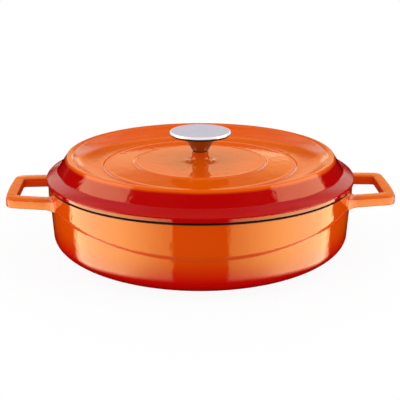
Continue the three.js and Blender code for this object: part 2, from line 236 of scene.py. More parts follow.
def quadratic(first, control, last, share):
    """A curve from first to last that leaves and ends along the lines to its control point:
    (1 - s)^2 first + 2 s (1 - s) control + s^2 last."""
    return (1 - share) ** 2 * first + 2 * share * (1 - share) * control + share ** 2 * last


def eased(corners, steps=EASE_STEPS):
    """Points along a profile whose corners are eased. Each corner is (radius, height, back, ahead): the
    straight runs stop that far before it and start that far after it, and a quadratic curve with its control
    point at the corner joins them."""
    table = np.array(corners, float)
    points = table[:, :2]
    runs = np.diff(points, axis=0)
    runs = runs / np.linalg.norm(runs, axis=1, keepdims=True)
    starts = points - table[:, 2:3] * np.concatenate([runs[:1], runs])
    ends = points + table[:, 3:4] * np.concatenate([runs, runs[-1:]])
    share = np.linspace(0.0, 1.0, steps)[None, :, None]
    curves = quadratic(starts[:, None], points[:, None], ends[:, None], share)
    along = np.array([0.05, 0.5, 0.95])[None, :, None]
    following = np.concatenate([starts[1:], ends[-1:]])
    straights = ends[:, None] + along * (following - ends)[:, None]
    whole = np.concatenate([curves, straights], axis=1).reshape(-1, 2)
    moved = np.linalg.norm(np.diff(whole, axis=0), axis=1) > SHORTEST_RUN
    return whole[np.concatenate([[True], moved])]


def flat_run(radii, height):
    """A level stretch of a profile, with a point at each radius."""
    return np.stack([np.array(radii), np.full(len(radii), height)], axis=-1)


def turned(profile, segments):
    """A profile of radius and height turned about Z: (radius cos a, radius sin a, height) at each angle a."""
    angle = np.linspace(0.0, 2.0 * np.pi, segments, endpoint=False)
    radius = profile[:, :1]
    height = np.repeat(profile[:, 1:], segments, axis=1)
    return np.stack([radius * np.cos(angle), radius * np.sin(angle), height], axis=-1)


def skin(name, grid, poles=None, loop=False):
    """A smooth closed mesh on a grid of points in millimetres, rows by columns by xyz, with any copies first.
    Columns close on themselves. Rows close on themselves in a loop, or end in a fan to each of two poles."""
    rows, columns = grid.shape[-3:-1]
    grid = grid.reshape(-1, rows * columns, 3)
    copies = len(grid)
    number = np.arange(rows * columns).reshape(rows, columns)
    lower = number if loop else number[:-1]
    upper = np.roll(number, -1, axis=0) if loop else number[1:]
    quads = np.stack([lower, np.roll(lower, -1, 1), np.roll(upper, -1, 1), upper], axis=-1).reshape(-1, 4)
    fans = np.zeros((0, 3), int)
    if poles is not None:
        grid = np.concatenate([grid, np.array(poles, float).reshape(-1, 2, 3)], axis=1)
        first = np.stack([np.roll(number[0], -1), number[0], np.full(columns, rows * columns)], axis=-1)
        last = np.stack([number[-1], np.roll(number[-1], -1), np.full(columns, rows * columns + 1)], axis=-1)
        fans = np.concatenate([first, last])
    triangles = np.concatenate([quads[:, :3], quads[:, [0, 2, 3]], fans])
    corner = grid[0][triangles] - grid[0].mean(axis=0)
    if np.einsum("ij,ij->", corner[:, 0], np.cross(corner[:, 1], corner[:, 2])) < 0:
        quads = quads[:, ::-1]
        fans = fans[:, ::-1]
    shift = (np.arange(copies) * grid.shape[1])[:, None, None]
    faces = (quads + shift).reshape(-1, 4).tolist() + (fans + shift).reshape(-1, 3).tolist()
    mesh = bpy.data.meshes.new(name)
    mesh.from_pydata((grid.reshape(-1, 3) * MILLIMETRE).tolist(), [], faces)
    mesh.polygons.foreach_set("use_smooth", np.ones(len(faces), bool))
    mesh.update()
    piece = bpy.data.objects.new(name, mesh)
    bpy.context.scene.collection.objects.link(piece)
    return piece


def mark(piece, name, values):
    """Keeps one number for each point of a piece, for its finish to read."""
    attribute = piece.data.attributes.new(name, "FLOAT", "POINT")
    attribute.data.foreach_set("value", np.asarray(values, np.float32).ravel())


def wall_radius(height):
    """Outer radius of the wall: the rim's radius, less WALL_TAPER for each millimetre below the rim."""
    return RIM_RADIUS - WALL_TAPER * (POT_HEIGHT - height)


def band_radius(height, sweep):
    """Radius of the proud part. It stands outside the wall by STEP_DEPTH at the lowest place of the swept
    edge and by STEP_LOSS less at the highest, and comes in to the rim's radius at the top."""
    share = (POT_HEIGHT - height) / (POT_HEIGHT - sweep)
    depth = STEP_DEPTH - STEP_LOSS * (sweep - SWEEP_LOW) / SWEEP_RISE
    return RIM_RADIUS - share * (RIM_RADIUS - wall_radius(sweep) - depth)


def corner_point(foot_radius, foot_height, inset):
    """Where a line that rises from the foot at CORNER_RISE meets the wall, moved in by the inset."""
    wall = wall_radius(foot_height) - inset
    radius = (wall - WALL_TAPER * CORNER_RISE * foot_radius) / (1.0 - WALL_TAPER * CORNER_RISE)
    return radius, foot_height + CORNER_RISE * (radius - foot_radius)


def rounded_corner(foot_radius, foot_height, inset, steps):
    """A quadratic curve from the foot to the wall, with its control point at the corner."""
    top = foot_height + CORNER_HEIGHT
    start = np.array([foot_radius, foot_height])
    control = np.array(corner_point(foot_radius, foot_height, inset))
    end = np.array([wall_radius(top) - inset, top])
    share = np.linspace(0.0, 1.0, steps)[:, None]
    return quadratic(start, control, end, share)


dark_edge = POT_HEIGHT - DARK_RIM_DEPTH


def outside_wall(segments):
    """The wall in three runs of rows, below the swept edge, across it and above it. The edge's height is
    SWEEP_LOW + SWEEP_RISE cos^2 a, and the radius goes from wall to band across it. The second result is 1 in
    the middle of the edge and 0 beside it."""
    angle = np.linspace(0.0, 2.0 * np.pi, segments, endpoint=False)
    sweep = SWEEP_LOW + SWEEP_RISE * np.cos(angle) ** 2
    low_run = np.array([0.04, 0.2, 0.4, 0.6, 0.8, 0.93, 0.98])[:, None]
    step_run = np.linspace(0.0, 1.0, STEP_ROWS)[:, None]
    high_run = np.array([0.02, 0.07, 0.2, 0.4, 0.6, 0.8, 0.93])[:, None]
    high_end = dark_edge - 1.5 * DARK_RIM_BLEND
    height = np.concatenate([
        CORNER_HEIGHT + low_run * (sweep - STEP_HALF - CORNER_HEIGHT),
        sweep - STEP_HALF + step_run * 2.0 * STEP_HALF,
        sweep + STEP_HALF + high_run * (high_end - sweep - STEP_HALF),
    ])
    across = np.clip(0.5 + 0.5 * (height - sweep) / STEP_HALF, 0.0, 1.0)
    share = STEP_STRAIGHT * across + (1.0 - STEP_STRAIGHT) * smooth(across)
    radius = wall_radius(height) + share * (band_radius(height, sweep) - wall_radius(height))
    edge = smooth(4.0 * across * (1.0 - across))
    return np.stack([radius * np.cos(angle), radius * np.sin(angle), height], axis=-1), edge


outside_profile = np.concatenate([
    flat_run(BASE_RINGS, 0.0),
    rounded_corner(BASE_RADIUS, 0.0, 0.0, CORNER_STEPS),
])
cavity_wall = [
    (wall_radius(height) - WALL_THICKNESS, height, CAVITY_WALL_EASE, CAVITY_WALL_EASE)
    for height in CAVITY_WALL_HEIGHTS
]
rim_profile = eased([
    (RIM_RADIUS, dark_edge - DARK_RIM_BLEND, 0.0, 0.5 * DARK_RIM_BLEND),
    (RIM_RADIUS, POT_HEIGHT, RIM_EASE, RIM_EASE),
    (RIM_RADIUS - WALL_THICKNESS, POT_HEIGHT, RIM_EASE, RIM_EASE),
    *cavity_wall,
])
cavity_profile = np.concatenate([
    rounded_corner(BASE_RADIUS - CAVITY_INSET, FLOOR_THICKNESS, WALL_THICKNESS, CAVITY_CORNER_STEPS)[::-1],
    flat_run(CAVITY_RINGS, FLOOR_THICKNESS),
])
foot_grid = turned(outside_profile, CASTING_SEGMENTS)
wall_grid, wall_edge = outside_wall(CASTING_SEGMENTS)
rim_grid = turned(rim_profile, CASTING_SEGMENTS)
cavity_grid = turned(cavity_profile, CASTING_SEGMENTS)
pot_grid = np.concatenate([foot_grid, wall_grid, rim_grid, cavity_grid])
pot_shell = skin("pot_shell", pot_grid, [(0.0, 0.0, 0.0), (0.0, 0.0, FLOOR_THICKNESS)])
wall_start = len(foot_grid)
wall_end = wall_start + len(wall_grid)
point_radius = np.hypot(pot_grid[..., 0], pot_grid[..., 1])
past_wall = np.arange(len(pot_grid))[:, None] >= wall_end
inside = smooth((pot_grid[..., 2] - dark_edge) / DARK_RIM_BLEND + 0.5)
inside = np.maximum(inside, past_wall & (point_radius < RIM_RADIUS - DARK_RIM_INSET))
mark(pot_shell, "inside", np.concatenate([inside.ravel(), [0.0, 1.0]]))
swept_edge = np.zeros(pot_grid.shape[:2])
swept_edge[wall_start:wall_end] = wall_edge
mark(pot_shell, "swept_edge", np.concatenate([swept_edge.ravel(), [0.0, 0.0]]))

pot_enamel, start = new_finish("pot_enamel")
place = place_of(start)
cloud = place.noise(scale=22.0, detail=3.0)
fade_height = place.axis("Z") + (cloud - 0.5) * (FADE_WANDER * MILLIMETRE)
fade = fade_height.between(FADE_TOP, FADE_FOOT)
grip = distance_from_axis(place).between(GRIP_START, GRIP_FULL)
hollow = marked(start, "hollow")
# Painted light: the handles take a lighter orange than the wall, though the enamel is the same.
orange = grip.mix(clouded(cloud, POT_ORANGE, POT_ORANGE_DEEP), GRIP_PAINTED_LIGHT)
# Painted shade: the faces in the finger holes are coloured redder and darker.
shaded = (hollow * LOOP_SHADE_SHARE).mix(orange, LOOP_PAINTED_SHADE)
swept_dry = marked(start, "swept_edge") * SWEPT_DRYNESS
dry = hollow + swept_dry + grip * (1.0 - hollow) * GRIP_DRYNESS
fire_enamel(start, place, fade.mix(shaded, POT_RED), marked(start, "inside"), dry)
pot_shell.data.materials.append(pot_enamel)
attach(pot_shell, "pot")
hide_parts("pot")

# Loop handles: cast in one with the pot at its left and right, under the same enamel. Each is a flat bar bent
# round a finger hole. It narrows and rises a little outward, and spreads into the wall at its roots.
HANDLE_REACH = 38.07
HANDLE_WIDTH = 83.0
HANDLE_TAPER = 5.0
HANDLE_TILT = math.radians(1.3)
HANDLE_SIDE_BAR = 15.5
HANDLE_END_BAR = 10.4
HANDLE_DROP = 9.1
HANDLE_DEPTH = 8.7
HANDLE_EDGE = 1.3
HANDLE_CORNER = 9.0
HANDLE_CORNER_BACK = 1.54
HANDLE_HOLE_CORNER = 3.0
HANDLE_BOW = 1.1
HANDLE_BEND_STEPS = 14
HANDLE_END_STEPS = 8
HANDLE_EDGE_STEPS = 7
ROOT_FILLET = 11.0
ROOT_RISE = 3.0
ROOT_DROP = 7.0
ROOT_LEAN = 0.8
ROOT_DEPTH = 3.0
ROOT_SINK = 0.5
ROOT_BURIED = 0.6
ROOT_STEPS = 14
HOLLOW_START = 0.4
HOLLOW_SPAN = 0.5
HOLLOW_SPREAD = 0.5

handle_top = POT_HEIGHT - HANDLE_DROP
handle_bottom = handle_top - HANDLE_DEPTH
handle_middle = 0.5 * (handle_top + handle_bottom)
handle_end = RIM_RADIUS + HANDLE_REACH
hole_end = handle_end - HANDLE_END_BAR


def side_point(along, inset=0.0):
    """The place on the near side of the loop at a place along X, moved in from the outline by the inset."""
    half = 0.5 * HANDLE_WIDTH + HANDLE_TAPER * (handle_end - along) / HANDLE_REACH
    return along, inset - half


def wall_reach(across):
    """X of the pot's wall at the handle's height, at a distance from the middle plane."""
    return math.sqrt(wall_radius(handle_bottom) ** 2 - across ** 2)


def plan_curve(first, control, last, shares):
    """A quadratic curve in plan, at the given shares of its length."""
    first, control, last = np.array([first, control, last], float)
    return quadratic(first, control, last, np.asarray(shares)[:, None])


def plan_line(first, last, shares):
    """A straight line in plan, at the given shares of its length."""
    first, last = np.array([first, last], float)
    return first + np.asarray(shares)[:, None] * (last - first)


def handle_loop(side):
    """A bar with a rounded rectangular section, carried from one root round to the other. At each station the
    section stands between a point of the outer outline and a point of the hole's outline. Under the roots it
    leans into the wall. The whole loop is then tilted by HANDLE_TILT, and its ends are pushed out to the
    middle of the wall where they would go deeper. The second result is 1 on the faces in the hole."""
    root_half = -side_point(RIM_RADIUS)[1]
    root_hole = root_half - HANDLE_SIDE_BAR
    flare = root_half + ROOT_FILLET
    fillet = 0.5 * ROOT_FILLET
    hole_flare = root_hole - fillet
    root_shares = np.linspace(0.0, 1.0, ROOT_STEPS)
    bar_shares = np.array([0.05, 0.3, 0.6, 0.9, 0.97])
    bend_shares = np.linspace(0.0, 1.0, HANDLE_BEND_STEPS)
    end_shares = np.linspace(0.03, 0.5, HANDLE_END_STEPS)
    outer_start = (wall_reach(flare) - ROOT_SINK, -flare)
    outer_foot = (wall_reach(root_half), -root_half)
    outer_root = side_point(wall_reach(root_half) + ROOT_FILLET)
    outer_turn = side_point(handle_end - HANDLE_BOW - HANDLE_CORNER)
    outer_corner = side_point(handle_end - HANDLE_CORNER_BACK)
    outer_end = side_point(handle_end - HANDLE_BOW, HANDLE_CORNER)
    hole_start = (wall_reach(hole_flare), -hole_flare)
    hole_foot = (wall_reach(root_hole), -root_hole)
    hole_root = side_point(wall_reach(root_hole) + fillet, HANDLE_SIDE_BAR)
    hole_turn = side_point(hole_end - HANDLE_HOLE_CORNER, HANDLE_SIDE_BAR)
    hole_corner = side_point(hole_end, HANDLE_SIDE_BAR)
    hole_stop = side_point(hole_end, HANDLE_SIDE_BAR + HANDLE_HOLE_CORNER)
    outer = np.concatenate([
        [(wall_reach(flare) - ROOT_DEPTH, -flare)],
        plan_curve(outer_start, outer_foot, outer_root, root_shares),
        plan_line(outer_root, outer_turn, bar_shares),
        plan_curve(outer_turn, outer_corner, outer_end, bend_shares),
        plan_curve(outer_end, (handle_end + HANDLE_BOW, 0.0), (outer_end[0], -outer_end[1]), end_shares),
    ])
    hole = np.concatenate([
        [(wall_reach(hole_flare) - ROOT_DEPTH, -hole_flare)],
        plan_curve(hole_start, hole_foot, hole_root, root_shares),
        plan_line(hole_root, hole_turn, bar_shares),
        plan_curve(hole_turn, hole_corner, hole_stop, bend_shares),
        plan_line(hole_stop, (hole_end, -hole_stop[1]), end_shares),
    ])
    spread = np.concatenate([[1.0], (1.0 - root_shares) ** 2, np.zeros(len(outer) - 1 - len(root_shares))])
    mirrored = np.array([1.0, -1.0])
    outer = np.concatenate([outer, (outer * mirrored)[-2::-1]])
    hole = np.concatenate([hole, (hole * mirrored)[-2::-1]])
    spread = np.concatenate([spread, spread[-2::-1]])
    quarter = np.repeat(np.arange(4), HANDLE_EDGE_STEPS)
    turn = (quarter + np.tile(np.linspace(0.0, 1.0, HANDLE_EDGE_STEPS), 4)) * np.pi / 2.0
    out_sign = np.where((quarter == 0) | (quarter == 3), 1.0, -1.0)
    up_sign = np.where(quarter < 2, 1.0, -1.0)
    half = 0.5 * np.linalg.norm(outer - hole, axis=1)
    top = handle_top + ROOT_RISE * spread
    bottom = handle_bottom - ROOT_DROP * spread
    rise = 0.5 * (top - bottom)
    out = out_sign * (half - HANDLE_EDGE)[:, None] + HANDLE_EDGE * np.cos(turn)
    up = up_sign * (rise - HANDLE_EDGE)[:, None] + HANDLE_EDGE * np.sin(turn)
    across = (outer - hole) / (2.0 * half)[:, None]
    plan = 0.5 * (outer + hole)[:, None, :] + out[:, :, None] * across[:, None, :]
    level = 0.5 * (top + bottom)[:, None] + up - handle_middle
    below = np.maximum(handle_bottom - handle_middle - level, 0.0)
    along = plan[..., 0] - hole_end - ROOT_LEAN * below
    tilted = hole_end + along * math.cos(HANDLE_TILT) - level * math.sin(HANDLE_TILT)
    height = handle_middle + along * math.sin(HANDLE_TILT) + level * math.cos(HANDLE_TILT)
    hollow = smooth((-HOLLOW_START - np.cos(turn)) / HOLLOW_SPAN) * (spread < HOLLOW_SPREAD)[:, None]
    deepest = wall_radius(height) - ROOT_BURIED * WALL_THICKNESS
    push = np.maximum(1.0, deepest / np.hypot(tilted, plan[..., 1]))
    return np.stack([side * push * tilted, side * push * plan[..., 1], height], axis=-1), hollow


for side, name in ((1.0, "right_handle"), (-1.0, "left_handle")):
    loop_grid, loop_hollow = handle_loop(side)
    handle = skin(name, loop_grid, [loop_grid[0].mean(axis=0), loop_grid[-1].mean(axis=0)])
    mark(handle, "hollow", np.concatenate([loop_hollow.ravel(), [0.0, 0.0]]))
    handle.data.materials.append(pot_enamel)
    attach(handle, "pot")

# Lid: one iron casting with a sloping flange on the pot's rim, a steep wall, a narrow ridge and a sunk top
# that steps up in two rings to the boss under the knob. It is enamelled orange on top, red outside the ridge
# and dark below, and lies loose on the pot with a skirt inside the rim.
SEAT_GAP = 0.2
FLANGE_OVERHANG = 1.5
FLANGE_WIDTH = 10.5
FLANGE_LIP = 3.8
FLANGE_HEIGHT = 9.3
FLANGE_EDGE = 1.0
FLANGE_FOOT_EDGE = 0.7
FLANGE_CROWN = 0.35
FLANGE_CROWN_EASE = 4.6
FOOT_FILLET = 1.0
LID_WALL_RUN = 9.2
LID_WALL_RISE = 14.1
RIDGE_WIDTH = 4.5
RIDGE_FALL = 0.6
RIDGE_EDGE = 2.1
RIDGE_CORNER = 0.9
LID_THICKNESS = 4.2
WELL_DEPTH = 11.6
WELL_SIDE_RUN = 8.0
WELL_SIDE_RISE = 0.2
UNDER_SIDE_RUN = 10.5
UNDER_SIDE_DROP = 0.4
UNDER_TOP_INSET = 0.8
UNDER_EASE = 2.0
VALLEY_SHARE = 0.25
VALLEY_EASE = 3.0
OUTER_RING_RADIUS = 90.7
INNER_RING_RADIUS = 62.0
RING_STEP = 1.0
RING_BAND_RISE = 1.8
RING_EASE = 0.8
RIB_OUTSIDE = 2.4
RIB_INSIDE = 3.2
RIB_HEIGHT = 0.22
RIB_TAIL = 0.1
SKIRT_CLEARANCE = 1.2
SKIRT_DEPTH = 6.0
SKIRT_THICKNESS = 4.2
SKIRT_EDGE = 0.9
BOSS_RADIUS = 7.9
BOSS_FLARE = 10.5
BOSS_HEIGHT = 9.4
BOSS_FLARE_SHARE = 0.7
PAD_RADIUS = 13.0
PAD_HEIGHT = 1.2
CRISP_EDGE = 0.4
BORE_RADIUS = 3.3
BORE_EDGE = 0.2
BORE_SEAM = 0.3
SEAT_MARGIN = 0.5
LID_ORANGE = (0.690, 0.089, 0.0008, 1.0)
LID_ORANGE_DEEP = (0.675, 0.084, 0.0008, 1.0)
LID_RED = (0.39, 0.0006, 0.0006, 1.0)
BLUSH_START = 1.1
BLUSH_FULL = 4.1
BLUSH_WANDER = 1.5
BLUSH_INSET_START = 1.3
BLUSH_INSET_FULL = 0.1
FLANGE_DRYNESS = 0.45
FLANGE_BLEND = 0.5
FLANGE_DRY_START = -0.2
FLANGE_DRY_FULL = 0.6

lid_seat = POT_HEIGHT + SEAT_GAP
lip_height = lid_seat + FLANGE_LIP
flange_radius = RIM_RADIUS + FLANGE_OVERHANG
foot_radius = flange_radius - FLANGE_WIDTH
foot_height = lid_seat + FLANGE_HEIGHT
ridge_radius = foot_radius - LID_WALL_RUN
ridge_height = foot_height + LID_WALL_RISE
well_radius = ridge_radius - RIDGE_WIDTH
well_height = ridge_height - RIDGE_FALL
valley = ridge_height - WELL_DEPTH
valley_radius = OUTER_RING_RADIUS + VALLEY_SHARE * (well_radius - OUTER_RING_RADIUS)
band_outer = valley + RING_STEP
band_inner = band_outer + RING_BAND_RISE
disc_height = band_inner + RING_STEP
disc_under = disc_height - LID_THICKNESS
boss_top = disc_height + BOSS_HEIGHT
pad_foot = disc_under - PAD_HEIGHT
skirt_radius = wall_radius(POT_HEIGHT - SKIRT_DEPTH) - WALL_THICKNESS - SKIRT_CLEARANCE
skirt_inner = skirt_radius - SKIRT_THICKNESS
skirt_foot = lid_seat - SKIRT_DEPTH
lid_slope = LID_WALL_RISE / LID_WALL_RUN
under_ridge = ridge_radius - LID_THICKNESS * (math.hypot(1.0, lid_slope) - 1.0) / lid_slope
crown_radius = 0.5 * (flange_radius + foot_radius)
crown_height = 0.5 * (lip_height + foot_height) + FLANGE_CROWN


def under_wall(radius):
    """Height of the lid wall's underside: the wall's line moved in by the thickness."""
    return ridge_height - LID_THICKNESS * math.hypot(1.0, lid_slope) - lid_slope * (radius - ridge_radius)


# From the bore out along the underside, up the flange and the wall, and back in over the top
lid_profile = eased([
    (BORE_RADIUS, pad_foot, 0.0, BORE_EDGE),
    (PAD_RADIUS, pad_foot, CRISP_EDGE, CRISP_EDGE),
    (PAD_RADIUS + PAD_HEIGHT, disc_under, 0.6, 0.6),
    (INNER_RING_RADIUS, disc_under, 4.0, 4.0),
    (OUTER_RING_RADIUS, band_outer - LID_THICKNESS, UNDER_EASE, UNDER_EASE),
    (valley_radius, valley - LID_THICKNESS, UNDER_EASE, UNDER_EASE),
    (well_radius - UNDER_SIDE_RUN, valley - UNDER_SIDE_DROP * LID_THICKNESS, 7.0, 8.0),
    (well_radius - UNDER_TOP_INSET * LID_THICKNESS, well_height - LID_THICKNESS, UNDER_EASE, UNDER_EASE),
    (under_ridge, under_wall(under_ridge), 1.5, UNDER_EASE),
    (skirt_inner, under_wall(skirt_inner), UNDER_EASE, UNDER_EASE),
    (skirt_inner, skirt_foot, SKIRT_EDGE, SKIRT_EDGE),
    (skirt_radius, skirt_foot, SKIRT_EDGE, SKIRT_EDGE),
    (skirt_radius, lid_seat, CRISP_EDGE, CRISP_EDGE),
    (flange_radius, lid_seat, FLANGE_FOOT_EDGE, FLANGE_FOOT_EDGE),
    (flange_radius, lip_height, FLANGE_EDGE, FLANGE_EDGE),
    (crown_radius, crown_height, FLANGE_CROWN_EASE, FLANGE_CROWN_EASE),
    (foot_radius, foot_height, FOOT_FILLET, FOOT_FILLET),
    (ridge_radius, ridge_height, RIDGE_CORNER, RIDGE_CORNER),
    (well_radius, well_height, RIDGE_EDGE, RIDGE_EDGE),
    (well_radius - WELL_SIDE_RUN, valley + WELL_SIDE_RISE * WELL_DEPTH, 9.5, 11.0),
    (valley_radius, valley, VALLEY_EASE, VALLEY_EASE),
    (OUTER_RING_RADIUS + RIB_OUTSIDE, valley, RING_EASE, RING_EASE),
    (OUTER_RING_RADIUS, band_outer + RIB_HEIGHT, RING_EASE, RING_EASE),
    (OUTER_RING_RADIUS - RIB_INSIDE, band_outer + RIB_TAIL, RING_EASE, RING_EASE),
    (INNER_RING_RADIUS + RIB_OUTSIDE, band_inner, RING_EASE, RING_EASE),
    (INNER_RING_RADIUS, disc_height + RIB_HEIGHT, RING_EASE, RING_EASE),
    (INNER_RING_RADIUS - RIB_INSIDE, disc_height, RING_EASE, RING_EASE),
    (BOSS_RADIUS, disc_height, BOSS_FLARE, BOSS_FLARE_SHARE * BOSS_HEIGHT),
    (BOSS_RADIUS, boss_top, CRISP_EDGE, CRISP_EDGE),
    (BORE_RADIUS, boss_top, BORE_EDGE, BORE_EDGE),
    (BORE_RADIUS, pad_foot + BORE_SEAM, 0.0, 0.0),
])
lid_grid = turned(lid_profile, CASTING_SEGMENTS)
lid_shell = skin("lid_shell", lid_grid, loop=True)
seat_row = int(np.argmax(lid_profile[:, 0] > flange_radius - SEAT_MARGIN))
under_side = np.arange(len(lid_profile)) < seat_row
mark(lid_shell, "inside", np.repeat(under_side, CASTING_SEGMENTS))

lid_enamel, start = new_finish("lid_enamel")
place = place_of(start)
radius = distance_from_axis(place)
height = place.axis("Z")
cloud = place.noise(scale=30.0, detail=3.0)
blush_height = height + (cloud - 0.5) * (BLUSH_WANDER * MILLIMETRE)
blush = blush_height.between(ridge_height - BLUSH_START, ridge_height - BLUSH_FULL)
past_ridge = radius.between(ridge_radius - BLUSH_INSET_START, ridge_radius - BLUSH_INSET_FULL)
past_foot = radius.between(foot_radius - FLANGE_BLEND, foot_radius + FLANGE_BLEND)
over_lip = height.between(lip_height + FLANGE_DRY_START, lip_height + FLANGE_DRY_FULL)
orange = clouded(cloud, LID_ORANGE, LID_ORANGE_DEEP)
sprayed = (blush * past_ridge).mix(orange, LID_RED)
fire_enamel(start, place, sprayed, marked(start, "inside"), past_foot * over_lip * FLANGE_DRYNESS)
lid_shell.data.materials.append(lid_enamel)
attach(lid_shell, "lid")
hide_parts("lid")

# Drip nubs: short blunt pins cast on the underside of the lid, in three circles, under the same dark enamel.
# Steam that settles on the lid gathers on them and falls back into the pot.
NUB_HEIGHT = 2.8
NUB_RADIUS = 2.6
NUB_ROOT = 1.5
NUB_FOOT_SHARE = 0.95
NUB_TIP_SHARE = 0.55
NUB_SEGMENTS = 14
NUB_STEPS = 4
NUB_COUNTS = (10, 18, 22)
NUB_SKIRT_GAP = 1.0
POLE_RADIUS = 0.02


def under_height(radius):
    """Height of the lid's underside at a radius, read off the profile."""
    lower = lid_profile[under_side & (lid_profile[:, 0] < skirt_inner - NUB_SKIRT_GAP)]
    return np.interp(radius, lower[:, 0], lower[:, 1])


def nub_circle(circle, count):
    """Evenly spaced places on a circle of the lid's underside, the first half a space from X."""
    angle = (np.arange(count) + 0.5) * 2.0 * np.pi / count
    height = np.full(count, under_height(circle))
    return np.stack([circle * np.cos(angle), circle * np.sin(angle), height], axis=-1)


nub_profile = eased([
    (NUB_RADIUS, NUB_ROOT, 0.0, 0.3),
    (NUB_FOOT_SHARE * NUB_RADIUS, 0.0, 0.5, 0.5),
    (NUB_TIP_SHARE * NUB_RADIUS, -NUB_HEIGHT, 0.8, 0.6),
    (POLE_RADIUS, -NUB_HEIGHT, 0.0, 0.0),
], NUB_STEPS)
nub_circles = (
    0.5 * (PAD_RADIUS + INNER_RING_RADIUS),
    0.5 * (INNER_RING_RADIUS + OUTER_RING_RADIUS),
    valley_radius,
)
nub_places = np.concatenate([nub_circle(circle, count) for circle, count in zip(nub_circles, NUB_COUNTS)])
nub_grid = nub_places[:, None, None, :] + turned(nub_profile, NUB_SEGMENTS)
nub_poles = nub_places[:, None, :] + np.array([(0.0, 0.0, NUB_ROOT), (0.0, 0.0, -NUB_HEIGHT)])
drip_nubs = skin("drip_nubs", nub_grid, nub_poles)
mark(drip_nubs, "inside", np.ones(len(drip_nubs.data.vertices)))
drip_nubs.data.materials.append(lid_enamel)
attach(drip_nubs, "lid")

# Knob stem: a steel cone turned on a lathe and polished, wide end up, standing on the lid's boss.
# It is tapped from below for the screw, and a spigot on top carries the disc.
CONTACT_GAP = 0.05
STEM_FOOT_RADIUS = 6.9
STEM_TOP_RADIUS = 16.8
STEM_HEIGHT = 15.4
SPIGOT_RADIUS = 5.0
SPIGOT_HEIGHT = 1.8
SCREW_GRIP = 11.0
TAP_SPARE = 1.0
KNOB_SEGMENTS = 128
STEEL = (0.46, 0.41, 0.39, 1.0)
STEEL_DULL = (0.36, 0.32, 0.30, 1.0)


def metal(start, colour, metallic, roughness, relief):
    """A metal surface with the given colour, share of metal, roughness and fine relief."""
    shader = start.node("ShaderNodeBsdfPrincipled", {}, {
        "Base Color": colour,
        "Metallic": metallic,
        "Roughness": roughness,
        "Normal": relief,
    })
    start.node("ShaderNodeOutputMaterial", {}, {"Surface": shader})


stem_foot = boss_top + CONTACT_GAP
stem_top = stem_foot + STEM_HEIGHT
spigot_top = stem_top + SPIGOT_HEIGHT
tap_top = stem_foot + SCREW_GRIP + TAP_SPARE
stem_profile = eased([
    (POLE_RADIUS, tap_top, 0.0, 0.0),
    (BORE_RADIUS, tap_top, 0.3, 0.3),
    (BORE_RADIUS, stem_foot, 0.3, 0.3),
    (STEM_FOOT_RADIUS, stem_foot, 0.4, 0.4),
    (STEM_TOP_RADIUS, stem_top, 0.5, 0.5),
    (SPIGOT_RADIUS, stem_top, 0.2, 0.2),
    (SPIGOT_RADIUS, spigot_top, 0.3, 0.3),
    (POLE_RADIUS, spigot_top, 0.0, 0.0),
])
stem_grid = turned(stem_profile, KNOB_SEGMENTS)
knob_stem = skin("knob_stem_turned", stem_grid, [(0.0, 0.0, tap_top), (0.0, 0.0, spigot_top)])

bright_steel, start = new_finish("bright_steel")
place = place_of(start)
from_axis = distance_from_axis(place)
lathe_place = start.node("ShaderNodeCombineXYZ", {}, {"X": from_axis, "Z": place.axis("Z")}, "Vector")
rings = lathe_place.noise(scale=2600.0, detail=2.0, roughness=0.7)
smudge = place.noise(scale=70.0, detail=3.0)
steel = (rings * 0.35 + smudge * 0.3).mix(STEEL, STEEL_DULL)
metal(start, steel, 1.0, 0.08 + rings * 0.06 + smudge * 0.05, rings.bump(strength=0.10, distance=0.00002))
knob_stem.data.materials.append(bright_steel)
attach(knob_stem, "lid")
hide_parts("knob_stem")

# Knob disc: a thin round steel plate pressed on the stem's spigot. Its top is blasted to a pale even frost,
# whose blue tint is a painted reflection. The bevel round its rim is painted near white as a highlight, and
# the steel under the rim is painted dark as shade.
KNOB_RADIUS = 29.55
KNOB_THICKNESS = 4.1
KNOB_CLEARANCE = 0.3
KNOB_STEPS = 10
DISC_UNDERCUT = 1.5
DISC_WIDEST = 1.9
DISC_BEVEL = 1.2
DISC_MARGIN = 6.0
FROST_EDGE_START = 1.25
FROST_EDGE_FULL = 2.15
FROST_DEPTH_START = 1.2
FROST_DEPTH_FULL = 0.4
RIM_SHADE_DEPTH_START = 1.4
RIM_SHADE_DEPTH_FULL = 2.3
# The frost's blue tint is a painted reflection over the steel's pale grey.
FROST_AND_SHEEN_STEEL = (0.555, 0.610, 0.82, 1.0)
FROST_AND_SHEEN_STEEL_DEEP = (0.42, 0.460, 0.62, 1.0)
# Painted highlight: the bevel round the rim is coloured near white.
BEVEL_PAINTED_HIGHLIGHT = (0.95, 0.95, 0.94, 1.0)
# Painted shade: the steel under the rim is coloured near black.
UNDER_RIM_PAINTED_SHADE = (0.04, 0.04, 0.04, 1.0)

disc_foot = stem_top + CONTACT_GAP
disc_top = disc_foot + KNOB_THICKNESS
socket_radius = SPIGOT_RADIUS + KNOB_CLEARANCE
socket_top = spigot_top + KNOB_CLEARANCE
disc_profile = eased([
    (POLE_RADIUS, socket_top, 0.0, 0.0),
    (socket_radius, socket_top, 0.2, 0.2),
    (socket_radius, disc_foot, 0.3, 0.3),
    (KNOB_RADIUS - DISC_UNDERCUT, disc_foot, 0.6, 0.6),
    (KNOB_RADIUS, disc_foot + DISC_WIDEST, 0.3, 0.3),
    (KNOB_RADIUS - DISC_BEVEL, disc_top, 0.5, 0.5),
    (KNOB_RADIUS - DISC_MARGIN, disc_top, 0.5, 0.5),
    (POLE_RADIUS, disc_top, 0.0, 0.0),
], KNOB_STEPS)
disc_grid = turned(disc_profile, KNOB_SEGMENTS)
knob_disc = skin("knob_disc_faced", disc_grid, [(0.0, 0.0, socket_top), (0.0, 0.0, disc_top)])

